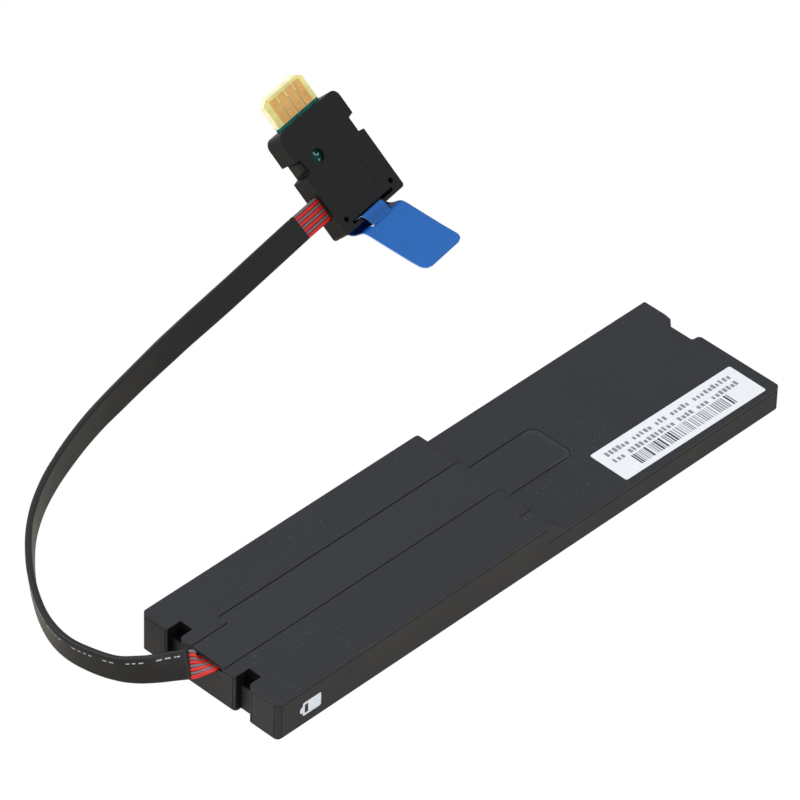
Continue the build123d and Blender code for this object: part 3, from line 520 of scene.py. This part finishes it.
# Plain dashes in place of the print, along the upper edge of the sleeve's outer face
def sleeve_patch(fraction, across_low, across_high, run, lift=0.012 * MM):
    """Corners of a small patch just above the sleeve's outer face."""
    share = run / sleeve_total
    edge = half_width - corner
    corners = []
    for f, w in ((fraction, across_low), (fraction + share, across_low),
                 (fraction + share, across_high), (fraction, across_high)):
        centre, _, out, width = sleeve_frame(f)
        deep = half_thick + lift
        if w > edge:
            turn = min((w - edge) / corner, math.radians(80))
            w = edge + (corner + lift) * math.sin(turn)
            deep = half_thick - corner + (corner + lift) * math.cos(turn)
        corners.append(centre + width * w + out * deep)
    return corners


dash_vertices = []
dash_faces = []


def add_dash(distance, low, high, run):
    """One dash; the distance is in metres, the rest in millimetres."""
    corners = sleeve_patch(distance / sleeve_total, low * MM, high * MM, run * MM)
    first = len(dash_vertices)
    dash_vertices.extend(corners)
    dash_faces.append((first, first + 1, first + 2, first + 3))


random.seed(11)
half_dash = 0.15
distance = 2.0 * MM
last_dash = sleeve_total - 24 * MM
while distance < last_dash:
    level = smooth_keys(((0.1, 2.2), (0.4, 3.2)), distance / sleeve_total)
    for _ in range(random.choice((2, 3, 4))):
        run = random.uniform(0.8, 1.5)
        add_dash(distance, level - half_dash, level + half_dash, run)
        distance += (run + random.uniform(0.6, 0.9)) * MM
    distance += random.uniform(0.6, 3.2) * MM
dashes = mesh_object("sleeve_dashes", dash_vertices, dash_faces, dash_material)


# Leads as smooth round tubes: a fan from the slot into the sleeve, and a flat row into the plug
def tube_mesh(paths, radius, sides=12):
    """Vertices and faces of round tubes along point lists."""
    vertices = []
    faces = []
    for path in paths:
        first = len(vertices)
        normal = None
        for index, place in enumerate(path):
            ahead = path[min(index + 1, len(path) - 1)] - path[max(index - 1, 0)]
            ahead.normalize()
            if normal is None:
                normal = ahead.orthogonal().normalized()
            normal = (normal - ahead * normal.dot(ahead)).normalized()
            across = ahead.cross(normal)
            for k in range(sides):
                angle = 2 * math.pi * k / sides
                vertices.append(place + (normal * math.cos(angle) + across * math.sin(angle)) * radius)
        for index in range(len(path) - 1):
            for k in range(sides):
                a = first + index * sides + k
                b = first + index * sides + (k + 1) % sides
                faces.append((a, b, b + sides, a + sides))
        faces.append(tuple(first + k for k in range(sides - 1, -1, -1)))
        last = first + (len(path) - 1) * sides
        faces.append(tuple(last + k for k in range(sides)))
    return vertices, faces


lead_z = 9.05
grey_steps = [-2.5, -0.5, 1.5, 3.5]
red_steps = [-3.5, -1.5, 0.5, 2.5]
grey_radius, red_radius = 0.42, 0.49
start_centre, start_forward, _, start_width = sleeve_frame(0)


def battery_lead_path(step):
    """Line of one lead from the board over the cells, through the slot and into the sleeve."""
    shift = step * lead_pitch
    entry = start_centre + start_width * shift * MM * 0.98
    before = entry - start_forward * 1.3 * MM
    slot_y = 1.0 + shift * 0.95
    slot_out = mm(-89.3, slot_y, lead_z + 0.15)
    blend = slot_out.lerp(before, 0.4) + mm(-0.25, 0, 0.1)
    return curve_line("lead_line", [
        mm(19.5, 2.0 + shift, 3.6),
        mm(14.5, 2.0 + shift, 3.6),
        mm(2.0, 2.0 + shift, lead_z),
        mm(-28.0, 2.0 + shift, lead_z),
        mm(-52.0, 0.3 + shift, lead_z),
        mm(-84.0, 0.3 + shift, lead_z),
        mm(-87.9, slot_y, lead_z + 0.05),
        slot_out,
        blend,
        before,
        entry,
        entry + start_forward * 1.5 * MM,
    ], resolution=7)


def plug_lead_path(step):
    """Line of one lead from the sleeve into the plug."""
    b = entry_b + step * lead_pitch
    places = [plug_point(a, b, entry_c) for a in (-11.5, -9.0, -4.5, 0.0, 3.4)]
    return curve_line("lead_line", places, resolution=4)


for node_name, path_maker, steps, radius, material, slot_name in (
    ("battery_leads_grey", battery_lead_path, grey_steps, grey_radius, grey_lead_material, "lead_grey"),
    ("battery_leads_red", battery_lead_path, red_steps, red_radius, red_lead_material, "lead_red"),
    ("plug_leads_grey", plug_lead_path, grey_steps, grey_radius, grey_lead_material, "lead_grey"),
    ("plug_leads_red", plug_lead_path, red_steps, red_radius, red_lead_material, "lead_red"),
):
    vertices, faces = tube_mesh([path_maker(step) for step in steps], radius * MM)
    leads = mesh_object(node_name + "_skin", vertices, faces, material, smooth=True)
    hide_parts(node_name)


# Flat and prismatic pieces
def prism(rings):
    """Faces and vertices of a closed stack of rings with the same number of points."""
    vertices = [point for ring in rings for point in ring]
    count = len(rings[0])
    faces = [tuple(range(count - 1, -1, -1))]
    for level in range(len(rings) - 1):
        for k in range(count):
            a = level * count + k
            b = level * count + (k + 1) % count
            faces.append((a, b, b + count, a + count))
    faces.append(tuple((len(rings) - 1) * count + k for k in range(count)))
    return vertices, faces


def plug_prism(outline, low_c, high_c):
    """Upright prism on the plug between two heights."""
    return prism([[plug_point(a, b, c) for a, b in outline] for c in (low_c, high_c)])


def join_parts(parts):
    """One vertex and face list from several."""
    vertices = []
    faces = []
    for part_vertices, part_faces in parts:
        first = len(vertices)
        vertices.extend(part_vertices)
        faces.extend(tuple(first + k for k in face) for face in part_faces)
    return vertices, faces


def plug_strip(points, wide, low_c, high_c):
    """Thin strip along points on a face of the plug."""
    parts = []
    for (a0, b0), (a1, b1) in zip(points[:-1], points[1:]):
        run = Vector((a1 - a0, b1 - b0)).normalized()
        across = Vector((-run.y, run.x)) * wide / 2
        parts.append(plug_prism([
            (a0 + across.x, b0 + across.y), (a0 - across.x, b0 - across.y),
            (a1 - across.x, b1 - across.y), (a1 + across.x, b1 + across.y)], low_c, high_c))
    return join_parts(parts)


def rounded_box(a0, b0, a1, b1, radius, steps=4):
    """Outline of a rectangle with rounded corners."""
    outline = []
    for ca, cb, start in ((a1 - radius, b1 - radius, 0), (a0 + radius, b1 - radius, 90),
                          (a0 + radius, b0 + radius, 180), (a1 - radius, b0 + radius, 270)):
        for k in range(steps + 1):
            angle = math.radians(start + 90 * k / steps)
            outline.append((ca + radius * math.cos(angle), cb + radius * math.sin(angle)))
    return outline


# Bare card edge tongue with its pale bevelled tip
tongue_low, tongue_high = 4.07, 21.03
tongue_root, tongue_tip = 32.35, 41.23


def tongue_ring(c, drawn):
    """Outline of the tongue at one height, its tip drawn back by the bevel."""
    tip = tongue_tip - drawn
    shift = 1.5 * drawn
    return [plug_point(a, b, c) for a, b in (
        (tongue_low, tongue_root), (tongue_high, tongue_root), (tongue_high, 39.25),
        (tongue_high - 3.0 + shift, tip), (tongue_low + 3.0 - shift, tip), (tongue_low, 39.25))]


tongue_vertices, tongue_faces = prism([
    tongue_ring(2.00, 1.05), tongue_ring(2.01, 0.42), tongue_ring(2.50, 0.0), tongue_ring(3.16, 0.0),
    tongue_ring(3.65, 0.42), tongue_ring(3.66, 1.05)])
tongue = mesh_object("tongue_skin", tongue_vertices, tongue_faces, bare_board_material)
tongue.data.materials.append(bare_edge_material)
for polygon in tongue.data.polygons[1:-1]:
    polygon.material_index = 1

# Contact fingers, close together with thin gaps, on both faces of the tongue
finger_parts = []
for middle, finger_width in ((7.75, 2.95), (11.15, 3.0), (14.55, 3.0), (17.9, 2.9)):
    outline = rounded_box(middle - finger_width / 2, 32.38, middle + finger_width / 2, 39.35, 0.35)
    for low_c, high_c in ((3.64, 3.70), (1.96, 2.02)):
        finger_parts.append(plug_prism(outline, low_c, high_c))
vertices, faces = join_parts(finger_parts)
fingers = mesh_object("contact_fingers", vertices, faces, gold_material)
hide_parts("gold_fingers")
# Grey strips in the gaps on the upper face: painted shade between the fingers
gap_parts = []
for middle in (9.44, 12.85, 16.25):
    gap_parts.append(plug_prism([(middle - 0.16, 32.3), (middle + 0.16, 32.3), (middle + 0.1, 37.4),
                                 (middle - 0.1, 37.4)], 3.655, 3.672))
vertices, faces = join_parts(gap_parts)
gaps = mesh_object("finger_gaps", vertices, faces, plain("finger_gap_shade", (0.17, 0.17, 0.12), 0.6))

# White marks on the board below the view hole
vertices, faces = join_parts([plug_strip([start, end], wide, 3.62, 3.66) for start, end, wide in (
    ((8.75, 22.0), (9.0, 20.95), 0.36),
    ((9.25, 20.75), (10.1, 20.9), 0.36),
    ((9.02, 19.85), (9.0, 19.2), 0.42))])
marks = mesh_object("board_marks", vertices, faces, print_material)


# Half round boss on the wall of the left grip, and the shade above it
def grip_boss(middle_a, middle_b, half_a, half_b, low_c, high_c, rise, rings=6, sides=28):
    """Upright boss with a rounded top."""
    vertices = []
    for ring_index in range(rings + 2):
        angle = max(ring_index - 1, 0) / rings * math.pi / 2
        c = low_c if ring_index == 0 else high_c + rise * math.sin(angle)
        draw = math.cos(angle) ** 0.6 if ring_index > 0 else 1.0
        for k in range(sides):
            turn = 2 * math.pi * k / sides
            vertices.append(plug_point(middle_a + half_a * math.cos(turn) * draw,
                                       middle_b + half_b * math.sin(turn) * draw, c))
    faces = [tuple(range(sides - 1, -1, -1))]
    for ring_index in range(rings + 1):
        for k in range(sides):
            a = ring_index * sides + k
            b = ring_index * sides + (k + 1) % sides
            faces.append((a, b, b + sides, a + sides))
    return vertices, faces


vertices, faces = grip_boss(2.0, 20.9, 0.5, 1.8, 0.9, 4.2, 0.9)
rib = mesh_object("grip_rib", vertices, faces, plug_material, smooth=True)
shade_side = ((18.35, 5.2), (23.3, 4.3), (23.3, 5.6), (18.35, 5.6))
shade_parts = [
    prism([[plug_point(a, b, c) for b, c in shade_side] for a in (1.985, 1.965)]),
    plug_prism([(2.0, 18.6), (2.4, 19.3), (2.45, 20.4), (2.0, 22.0)], 5.655, 5.672)]
vertices, faces = join_parts(shade_parts)
grip_shade = mesh_object("grip_shade", vertices, faces, seam_and_shade_material)


# Faint joint line in the top face of the plug
seam_line = [(16.9, 22.8), (17.6, 20.4), (18.5, 16.0), (19.0, 11.6), (18.9, 4.6)]
vertices, faces = plug_strip(seam_line, 0.2, 5.64, 5.668)
seam = mesh_object("plug_seam", vertices, faces, seam_and_shade_material)

# Print on the label: greeked blocks in two lines and a group of plain bars
label_middle = Vector((60.03, -15.23))
label_turn = math.radians(-0.7)


def label_box(u0, v0, u1, v1, low_z=label_top - 0.01, high_z=label_top + 0.012):
    """Flat block of print on the label."""
    corners = []
    for u, v in ((u0, v0), (u1, v0), (u1, v1), (u0, v1)):
        corners.append((label_middle.x + u * math.cos(label_turn) - v * math.sin(label_turn),
                        label_middle.y + u * math.sin(label_turn) + v * math.cos(label_turn)))
    return prism([[mm(x, y, z) for x, y in corners] for z in (low_z, high_z)])


random.seed(5)
block_parts = []
for start_u, base_v, words in ((-22.4, 2.85, (6, 5, 3, 5, 10)), (-22.6, 0.0, (3, 12, 4, 3, 7))):
    u = start_u
    for word in words:
        for _ in range(word):
            tall = random.choice((1.2, 1.5, 1.65))
            wide = random.choice((0.7, 0.85, 0.95))
            block_parts.append(label_box(u, base_v, u + wide, base_v + tall))
            u += 1.37
        u += 1.37
vertices, faces = join_parts(block_parts)
blocks = mesh_object("label_blocks", vertices, faces, grey_ink_material)
bar_parts = []
pale_parts = []
u = -18.0
while u < 16.6:
    dark = u < -17 or u > 15.2 or random.random() < 0.16
    wide = random.choice((0.3, 0.45, 0.6)) if dark else random.choice((0.2, 0.22, 0.34, 0.45))
    (bar_parts if dark else pale_parts).append(label_box(u, -4.65, u + wide, -0.65))
    u += wide + random.choice((0.25, 0.36, 0.36, 0.55, 0.75))
vertices, faces = join_parts(bar_parts)
bars = mesh_object("label_bars", vertices, faces, ink_material)
vertices, faces = join_parts(pale_parts)
pale_bars = mesh_object("label_bars_light", vertices, faces, grey_ink_material)

# Battery pictogram on the front side, with a window and a small nub
print_y = -23.312
body = rounded_box(-80.6, 2.6, -74.45, 6.7, 0.45)
window = ((-79.95, 3.3), (-78.8, 3.3), (-78.8, 5.95), (-79.95, 5.95))
nub = ((-80.62, 3.55), (-80.62, 5.7), (-81.35, 5.35), (-81.5, 5.0), (-81.5, 4.2), (-81.35, 3.85))
pict_mesh = bmesh.new()
rings = [[pict_mesh.verts.new(mm(x, print_y, z)) for x, z in points] for points in (body, window)]
edges = [pict_mesh.edges.new(pair) for ring in rings for pair in zip(ring, ring[1:] + ring[:1])]
bmesh.ops.triangle_fill(pict_mesh, use_beauty=True, use_dissolve=False, edges=edges)
pict_mesh.faces.new([pict_mesh.verts.new(mm(x, print_y, z)) for x, z in nub])
pict_data = bpy.data.meshes.new("battery_pictogram")
pict_mesh.normal_update()
for face in pict_mesh.faces:
    if face.normal.y > 0:
        face.normal_flip()
pict_mesh.to_mesh(pict_data)
pict_mesh.free()
pict_data.materials.append(print_material)
pictogram = link(bpy.data.objects.new("battery_pictogram", pict_data))
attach(pictogram, "root")


# Pull tab: sheet of tinted film and its neck, looped through the slot and laid back on the sheet
def tab_point(a, h, z):
    """Row frame point from plug width, level distance and height beside the plug corner."""
    return (plug_corner + plug_across * a + plug_flat * h + Vector((0, 0, z))) * MM


def side_view(b, c):
    """Level distance and height beside the plug corner, from plug coordinates."""
    level, rise = math.cos(plug_lean), math.sin(plug_lean)
    return b * level - c * rise, b * rise + c * level


def film_piece(name, control, edges_at, thickness, material, columns=26, skip=None):
    """Film along a smooth side line, its two edges given as plug widths at a share of the length."""
    line = curve_line(name + "_line", [Vector((h, z, 0)) for h, z in control], resolution=14)
    run = path_lengths(line)
    build = bmesh.new()
    rows = []
    for place, length in zip(line, run):
        low, high = edges_at(length, run[-1])
        rows.append([build.verts.new(tab_point(low + (high - low) * k / columns, place.x, place.y))
                     for k in range(columns + 1)])
    for index in range(len(rows) - 1):
        for k in range(columns):
            if skip is not None and skip(line[index].x, rows[index][k].co):
                continue
            build.faces.new((rows[index][k], rows[index][k + 1],
                             rows[index + 1][k + 1], rows[index + 1][k]))
    loose = [v for v in build.verts if not v.link_faces]
    bmesh.ops.delete(build, geom=loose, context="VERTS")
    bmesh.ops.recalc_face_normals(build, faces=build.faces)
    data = bpy.data.meshes.new(name)
    build.to_mesh(data)
    build.free()
    data.materials.append(material)
    # The rims take the paler blue of the painted edge highlight
    data.materials.append(tab_edge_highlight_material)
    for polygon in data.polygons:
        polygon.use_smooth = True
    obj = link(bpy.data.objects.new(name, data))
    solid = obj.modifiers.new("film", "SOLIDIFY")
    solid.thickness = thickness * MM
    solid.offset = 0
    solid.material_offset_rim = 1
    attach(obj, "root")
    return obj


def sheet_edges(length, total):
    """Edges of the wide sheet, with rounded corners at both ends."""
    low, high = 4.9, 22.1
    inset = 0.0
    radius = 2.6
    if length < radius:
        inset = radius - math.sqrt(max(radius ** 2 - (radius - length) ** 2, 0))
    near = total - length
    radius = 1.6
    if near < radius:
        inset = radius - math.sqrt(max(radius ** 2 - (radius - near) ** 2, 0))
    return low + inset, high - inset


def neck_edges(length, total):
    """Edges of the neck, slanting a little between the slot and the glued end."""
    share = max(length / total - 0.6, 0) / 0.4
    return 6.8 + 2.5 * share, 16.0 + 1.0 * share


def slit(h, place):
    """Small open slit in the sheet beside the neck."""
    a = (place - plug_corner * MM).dot(plug_across) / MM
    return 8.3 < a < 9.9 and -5.95 < h < -4.75 - 0.5 * (a - 8.3)


sheet_line = [(-25.45, -0.53), (-22.0, -0.25), (-15.0, 0.95), (-9.0, 2.05), (-7.0, 2.45), (-5.5, 2.35),
              (-4.4, 1.5), (-2.4, -0.05), (-0.4, -0.4), (2.4, -0.35)]
sheet = film_piece("tab_sheet", sheet_line, sheet_edges, 0.26, sheet_film_material, columns=52, skip=slit)
neck_line = [(-1.2, -0.30), (1.0, -0.1), side_view(1.85, -0.2), side_view(1.7, 2.0), side_view(1.25, 5.0),
             (-2.9, 5.2), (-3.55, 5.15), (-4.4, 4.6), (-5.0, 3.7), (-5.6, 2.85), (-6.15, 2.66)]
film_piece("tab_neck", neck_line, neck_edges, 0.16, neck_film_material)
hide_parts("pull_tab")

# Dark plate low in the slot that holds the pull tab: painted shade that hides the floor below
vertices, faces = plug_prism([(4.2, 1.03), (21.9, 1.03), (21.9, 1.52), (4.2, 1.52)], 0.9, 1.1)
slot_shade = mesh_object("tab_slot_shade", vertices, faces, recess_shade_material)


# Shadow lines inside the fine grooves of the housing
def box(x0, y0, z0, x1, y1, z1):
    """Block between two corners."""
    return prism([[mm(x, y, z) for x, y in ((x0, y0), (x1, y0), (x1, y1), (x0, y1))] for z in (z0, z1)])


groove_parts = []
for y in (-22.0, -14.4, -7.89, 9.1, 15.3):
    groove_parts.append(box(-89.0, y - 0.09, 0.2, -88.72, y + 0.09, 10.2))
groove_parts.append(box(-87.79, -23.3, 0.2, -87.61, -23.02, 10.2))
groove_parts.append(box(87.63, -23.26, 0.2, 87.77, -23.02, 5.8))
for low_y, high_y in ((-22.0, -14.4), (-7.89, -3.9), (4.5, 9.1), (15.3, 22.0)):
    groove_parts.append(box(-88.95, low_y, 10.11, -88.75, high_y, 10.24))
for y0, y1 in ((-23.3, -23.05), (23.05, 23.3)):
    groove_parts.append(box(-87.7, y0, 10.08, 3.9, y1, 10.27))
    groove_parts.append(box(4.1, y0, 5.68, 87.7, y1, 5.87))
for y, near_x in ((-5.1, -88.9), (9.2, -76.9)):
    groove_parts.append(box(near_x, y - 0.14, thick_top - 0.2, 3.1, y + 0.14, thick_top + line_rise))
    groove_parts.append(box(10.7, y - 0.14, thin_top - 0.2, 29.8, y + 0.14, thin_top + line_rise))
groove_parts.append(box(-88.9, 6.04, thick_top - 0.2, -76.9, 6.29, thick_top + line_rise))
groove_parts.append(box(1.6, -15.9, thick_top - 0.1, 5.4, -15.7, thick_top + line_rise))
vertices, faces = join_parts(groove_parts)
groove_lines = mesh_object("groove_lines", vertices, faces, hairline_material)

# Deep shade on the inner walls of the two latch notches
notch_parts = []
for low_y, high_y in ((-13.2, -8.95), (10.3, 14.55)):
    notch_parts.append(box(-88.8, high_y - 0.03, 7.43, -84.55, high_y - 0.005, 11.0))
    notch_parts.append(box(-88.8, high_y - 0.03, 0.3, -87.05, high_y - 0.005, 7.35))
    notch_parts.append(box(-84.54, low_y + 0.1, 7.43, -84.515, high_y - 0.1, 11.0))
    notch_parts.append(box(-86.9, low_y + 0.1, 7.405, -84.6, high_y - 0.1, 7.43))
    notch_parts.append(box(-87.03, low_y + 1.75, 0.3, -87.005, low_y + 2.3, 7.35))
vertices, faces = join_parts(notch_parts)
shade_material = plain("notch_shade", (0.0022, 0.0023, 0.0025), 0.7, specular=0.1)
notch_shade = mesh_object("notch_shade", vertices, faces, shade_material)

# Low sill inside the cable slot, under the leads, with its raised corner
vertices, faces = join_parts([box(-88.95, -4.25, 7.43, -87.6, 4.85, 8.45),
                              box(-88.95, -4.25, 8.45, -87.6, -2.75, 9.5)])
sill = mesh_object("slot_sill", vertices, faces, housing_material)


# Slightly paler band along the rounded far end of the channel film: a painted highlight
def film_edge(inset):
    """Outline of the film's far end, drawn in."""
    low_y, high_y, far_x, radius = -5.2 + inset, 8.85 - inset, 32.63 - inset, 2.4 - inset * 0.7
    points = [(25.0 - inset, low_y)]
    for cy, start in ((low_y + radius, -90), (high_y - radius, 0)):
        for k in range(9):
            angle = math.radians(start + 90 * k / 8)
            points.append((far_x - radius + radius * math.cos(angle), cy + radius * math.sin(angle)))
    points.append((29.0 - inset, high_y))
    return points


outer, inner = film_edge(0.12), film_edge(1.05)
band_vertices = [mm(x, y, 6.886) for x, y in outer + inner]
band_faces = [(k, k + 1, k + 1 + len(outer), k + len(outer)) for k in range(len(outer) - 1)]
film_highlight_band = mesh_object("film_highlight_band", band_vertices, band_faces, film_highlight_band_material)


# Pale moulding dots near the step
def disc(x, y, z, radius, sides=10):
    """Flat, slightly oval disc."""
    turns = [2 * math.pi * k / sides for k in range(sides)]
    points = [mm(x + radius * math.cos(turn), y + radius * 0.8 * math.sin(turn), z) for turn in turns]
    return points, [tuple(range(sides))]


random.seed(3)
dot_parts = []
for number, x_range, y_range, z, radii in (
    (26, (11.0, 21.0), (-15.5, -8.0), thin_top + line_rise, (0.06, 0.08, 0.12)),
    (16, (-5.0, 3.5), (14.5, 21.5), thick_top + line_rise, (0.06, 0.09, 0.12)),
    (9, (2.0, 5.4), (-18.6, -16.3), thick_top + line_rise, (0.08, 0.12, 0.17)),
):
    for _ in range(number):
        dot_parts.append(disc(random.uniform(*x_range), random.uniform(*y_range), z, random.choice(radii)))
vertices, faces = join_parts(dot_parts)
dots = mesh_object("moulding_dots", vertices, faces, plain("pale_dot", (0.05, 0.052, 0.055), 0.6))

# Floor and light
floor_material = bpy.data.materials.new("floor")
floor_material.use_nodes = True
floor_nodes = floor_material.node_tree.nodes
floor_links = floor_material.node_tree.links
floor_nodes.clear()
floor_output = floor_nodes.new("ShaderNodeOutputMaterial")
floor_diffuse = floor_nodes.new("ShaderNodeBsdfDiffuse")
floor_diffuse.inputs["Color"].default_value = (0.88, 0.82, 0.74, 1)
floor_white = floor_nodes.new("ShaderNodeEmission")
floor_white.inputs["Color"].default_value = (1, 1, 1, 1)
floor_white.inputs["Strength"].default_value = 1.0
floor_path = floor_nodes.new("ShaderNodeLightPath")
floor_gloss = floor_nodes.new("ShaderNodeEmission")
floor_gloss.inputs["Color"].default_value = (1.0, 0.93, 0.82, 1)
floor_gloss.inputs["Strength"].default_value = 1.0
gloss_mix = floor_nodes.new("ShaderNodeMixShader")
gloss_share = floor_nodes.new("ShaderNodeMath")
gloss_share.operation = "MULTIPLY"
gloss_share.inputs[1].default_value = 0.7
floor_links.new(floor_path.outputs["Is Glossy Ray"], gloss_share.inputs[0])
floor_links.new(gloss_share.outputs["Value"], gloss_mix.inputs["Fac"])
floor_links.new(floor_diffuse.outputs["BSDF"], gloss_mix.inputs[1])
floor_links.new(floor_gloss.outputs["Emission"], gloss_mix.inputs[2])
floor_mix = floor_nodes.new("ShaderNodeMixShader")
floor_links.new(floor_path.outputs["Is Camera Ray"], floor_mix.inputs["Fac"])
floor_links.new(gloss_mix.outputs["Shader"], floor_mix.inputs[1])
floor_links.new(floor_white.outputs["Emission"], floor_mix.inputs[2])
floor_links.new(floor_mix.outputs["Shader"], floor_output.inputs["Surface"])
floor_mesh = bpy.data.meshes.new("studio_floor")
floor_mesh.from_pydata([(-4, -4, 0), (4, -4, 0), (4, 4, 0), (-4, 4, 0)], [], [(0, 1, 2, 3)])
floor = link(bpy.data.objects.new("studio_floor", floor_mesh))
floor.location.z = -0.0002
floor_mesh.materials.append(floor_material)

world = bpy.data.worlds.new("studio")
bpy.context.scene.world = world
world.use_nodes = True
world_nodes = world.node_tree.nodes
world_nodes["Background"].inputs["Color"].default_value = (0.90, 0.94, 1.0, 1)
world_nodes["Background"].inputs["Strength"].default_value = 0.92


def area_light(name, place, target, size, power, colour=(1, 1, 1)):
    """Square lamp that points at a target."""
    data = bpy.data.lights.new(name, "AREA")
    data.shape = "SQUARE"
    data.size = size
    data.energy = power
    data.color = colour
    lamp = link(bpy.data.objects.new(name, data))
    lamp.location = place
    aim = Vector(target) - Vector(place)
    lamp.rotation_euler = aim.to_track_quat("-Z", "Y").to_euler()


area_light("key_light", (-0.3, 0.5, 0.9), (0, 0.03, 0), 0.6, 6.0)
area_light("fill_light", (-0.8, -0.8, 0.45), (0, 0.03, 0), 0.7, 6.0, (1.0, 0.95, 0.88))
